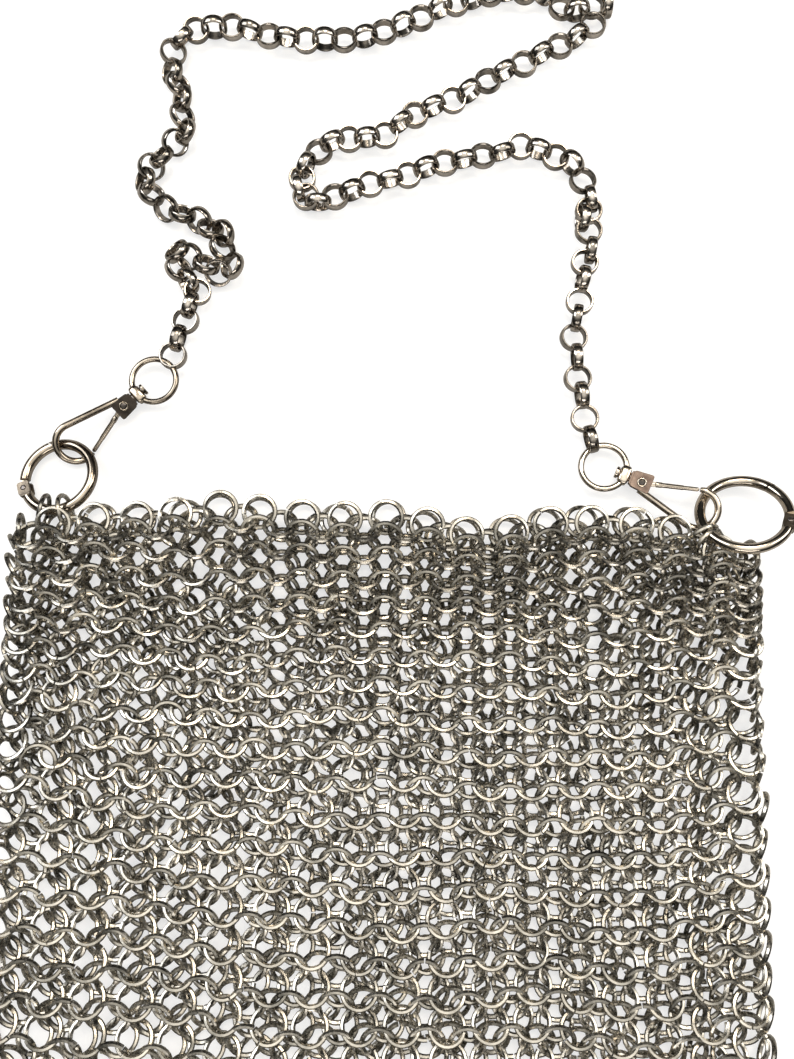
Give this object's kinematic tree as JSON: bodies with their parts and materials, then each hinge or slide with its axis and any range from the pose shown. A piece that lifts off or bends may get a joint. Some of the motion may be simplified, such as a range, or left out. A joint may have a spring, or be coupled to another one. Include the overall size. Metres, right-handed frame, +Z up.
{
  "type": "chain mail purse with chain strap",
  "caption": "Flat open-topped purse of woven metal rings, with a round-link chain strap, swivel snap hooks and spring-gate rings at the mouth corners.",
  "frame": {"origin": "middle of the whole purse's extents, on the surface that it lies on", "axes": "+X to the right across the mouth, +Y from the closed bottom through the mouth towards the strap, +Z up from the surface"},
  "size_m": [0.254, 0.405, 0.0196],
  "materials": {
    "mail": "aged, satin",
    "chain": "dark, satin",
    "nickel": "warm nickel, polished"
  },
  "bodies": {
    "purse": {"mesh_body": "mail", "chain_left": "chain", "chain_right": "chain", "left_hook_body": "nickel", "right_hook_body": "nickel", "left_ring_body": "nickel", "right_ring_body": "nickel"},
    "left_hook_gate_body": {"left_hook_gate": "nickel"},
    "right_hook_gate_body": {"right_hook_gate": "nickel"},
    "left_eye_body": {"left_swivel_eye": "nickel"},
    "right_eye_body": {"right_swivel_eye": "nickel"},
    "left_ring_gate_body": {"left_ring_gate": "nickel"},
    "right_ring_gate_body": {"right_ring_gate": "nickel"}
  },
  "joints": [
    {"name": "left_hook_gate_hinge", "type": "hinge", "parent": "purse", "child": "left_hook_gate_body", "pos_m": [-0.09304, 0.03695, 0.00402], "axis": [-0.3163, 0.3574, -0.8788], "range_deg": [0, 25], "stiffness_Nm_per_rad": 0.02},
    {"name": "right_hook_gate_hinge", "type": "hinge", "parent": "purse", "child": "right_hook_gate_body", "pos_m": [0.08011, 0.01005, 0.00549], "axis": [0.1622, 0.1101, -0.9806], "range_deg": [0, 25], "stiffness_Nm_per_rad": 0.02},
    {"name": "left_swivel", "type": "hinge", "parent": "purse", "child": "left_eye_body", "pos_m": [-0.0884, 0.04089, 0.00395], "axis": [-0.7337, -0.6794, -0.0122], "range_deg": [-15, 0]},
    {"name": "right_swivel", "type": "hinge", "parent": "purse", "child": "right_eye_body", "pos_m": [0.0747, 0.01279, 0.0049], "axis": [0.9078, -0.4061, 0.1045], "range_deg": [0, 20]},
    {"name": "left_ring_gate_hinge", "type": "hinge", "parent": "purse", "child": "left_ring_gate_body", "pos_m": [-0.12397, 0.00805, 0.00434], "axis": [0.1302, -0.1773, -0.9755], "range_deg": [0, 3], "stiffness_Nm_per_rad": 0.02},
    {"name": "right_ring_gate_hinge", "type": "hinge", "parent": "purse", "child": "right_ring_gate_body", "pos_m": [0.12391, -0.00497, 0.01568], "axis": [-0.178, 0.465, 0.8672], "range_deg": [0, 25], "stiffness_Nm_per_rad": 0.02}
  ]
}
